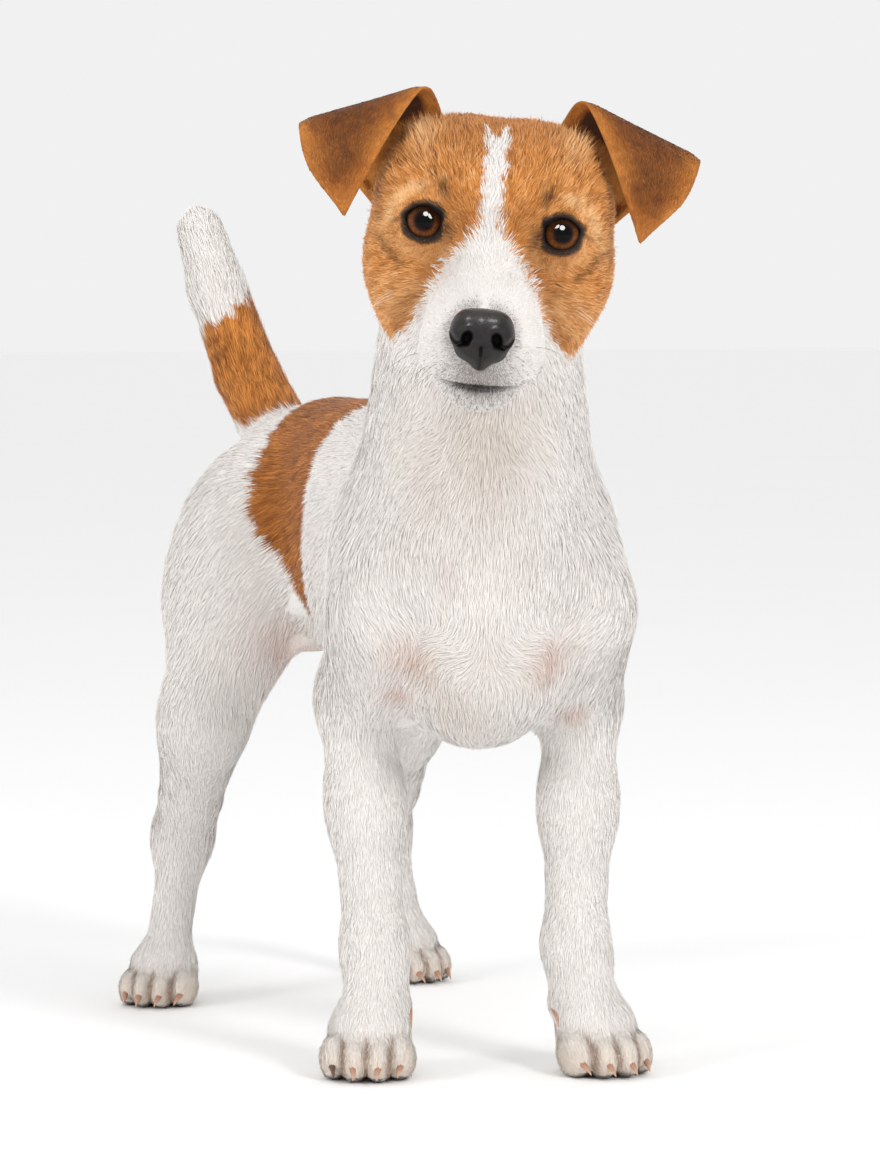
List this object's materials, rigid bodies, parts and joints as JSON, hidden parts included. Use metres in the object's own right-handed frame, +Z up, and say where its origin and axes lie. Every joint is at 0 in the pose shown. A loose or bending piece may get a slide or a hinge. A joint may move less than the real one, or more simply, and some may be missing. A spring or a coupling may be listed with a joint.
{
  "type": "dog, a jack russell terrier",
  "caption": "Life-size still model of a small short-coated terrier, standing square with its head turned to look ahead, ears folded and tail raised.",
  "frame": {"origin": "middle of the dog's outline on the floor, under the belly", "axes": "+Z up, -Y the way the dog faces, +X the dog's left side"},
  "size_m": [0.224, 0.5504, 0.4786],
  "materials": {
    "coat": "short dense white fur with a tan mask, saddle and tail, over pink skin",
    "nose_leather": "moist pebbled skin, near black",
    "eye": "wet, dark brown iris and black pupil",
    "claw": "worn horn, pinkish beige"
  },
  "bodies": {
    "root": {"eye_right": "eye", "ear_right": "coat", "eye_left": "eye", "ear_left": "coat", "nose": "nose_leather", "head": "coat", "lower_jaw": "coat", "neck": "coat", "chest": "coat", "loin": "coat", "tail": "coat", "upper_arm_right": "coat", "forearm_right": "coat", "thigh_right": "coat", "shank_right": "coat", "hock_right": "coat", "claw_fore_right_1": "claw", "claw_fore_right_2": "claw", "claw_fore_right_3": "claw", "claw_fore_right_4": "claw", "claw_fore_right_5": "claw", "fore_paw_right": "coat", "claw_hind_right_1": "claw", "claw_hind_right_2": "claw", "claw_hind_right_3": "claw", "claw_hind_right_4": "claw", "hind_paw_right": "coat", "upper_arm_left": "coat", "forearm_left": "coat", "thigh_left": "coat", "shank_left": "coat", "hock_left": "coat", "claw_fore_left_1": "claw", "claw_fore_left_2": "claw", "claw_fore_left_3": "claw", "claw_fore_left_4": "claw", "claw_fore_left_5": "claw", "fore_paw_left": "coat", "claw_hind_left_1": "claw", "claw_hind_left_2": "claw", "claw_hind_left_3": "claw", "claw_hind_left_4": "claw", "hind_paw_left": "coat"}
  },
  "joints": []
}
